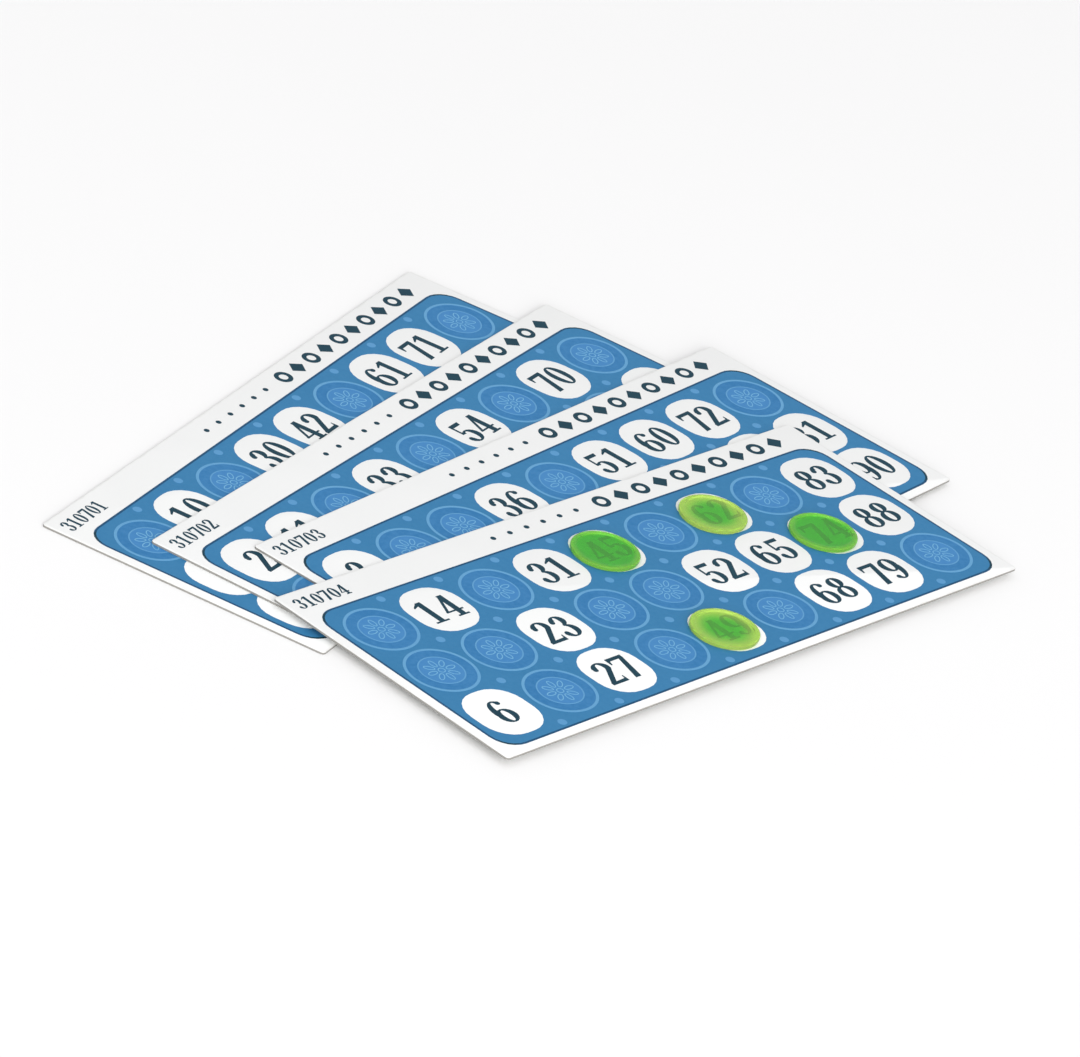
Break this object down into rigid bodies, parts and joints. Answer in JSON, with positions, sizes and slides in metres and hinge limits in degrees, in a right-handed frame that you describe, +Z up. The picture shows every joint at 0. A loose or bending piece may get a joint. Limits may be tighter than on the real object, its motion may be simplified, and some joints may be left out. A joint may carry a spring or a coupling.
{
  "type": "bingo card",
  "caption": "Hand of loose printed bingo cards fanned out flat, with see-through marker chips on the numbers of the top card.",
  "frame": {"origin": "middle of the bottom card's underside", "axes": "+X along the bottom card, +Y towards its header strip, +Z up from the table"},
  "size_m": [0.1802, 0.1472, 0.0033],
  "materials": {
    "board": "coated white card, satin",
    "blue_ink": "printed blue, satin",
    "pale_ink": "printed pale blue, satin",
    "dark_ink": "printed dark blue, satin",
    "chip": "see-through green plastic, glossy"
  },
  "bodies": {
    "bottom_card": {"bottom_card_board": "board", "bottom_card_field_print": "blue_ink", "bottom_card_ring_print": "pale_ink", "bottom_card_number_print": "dark_ink"},
    "lower_card": {"lower_card_board": "board", "lower_card_field_print": "blue_ink", "lower_card_ring_print": "pale_ink", "lower_card_number_print": "dark_ink"},
    "upper_card": {"upper_card_board": "board", "upper_card_field_print": "blue_ink", "upper_card_ring_print": "pale_ink", "upper_card_number_print": "dark_ink"},
    "top_card": {"top_card_board": "board", "top_card_field_print": "blue_ink", "top_card_ring_print": "pale_ink", "top_card_number_print": "dark_ink"},
    "chip_1": {"chip_1": "chip"},
    "chip_2": {"chip_2": "chip"},
    "chip_3": {"chip_3": "chip"},
    "chip_4": {"chip_4": "chip"}
  },
  "joints": [
    {"name": "lower_card_slide", "type": "slide", "parent": "bottom_card", "child": "lower_card", "axis": [0.061, 0.9981, 0], "range_m": [-0.04, 0.022]},
    {"name": "upper_card_slide", "type": "slide", "parent": "lower_card", "child": "upper_card", "axis": [0.1822, 0.9833, 0], "range_m": [-0.04, 0.022]},
    {"name": "top_card_slide", "type": "slide", "parent": "upper_card", "child": "top_card", "axis": [0.2756, 0.9613, 0], "range_m": [-0.04, 0.022]},
    {"name": "chip_1_lift", "type": "slide", "parent": "top_card", "child": "chip_1", "axis": [0, 0, 1], "range_m": [0, 0.03]},
    {"name": "chip_2_lift", "type": "slide", "parent": "top_card", "child": "chip_2", "axis": [0, 0, 1], "range_m": [0, 0.03]},
    {"name": "chip_3_lift", "type": "slide", "parent": "top_card", "child": "chip_3", "axis": [0, 0, 1], "range_m": [0, 0.03]},
    {"name": "chip_4_lift", "type": "slide", "parent": "top_card", "child": "chip_4", "axis": [0, 0, 1], "range_m": [0, 0.03]}
  ]
}
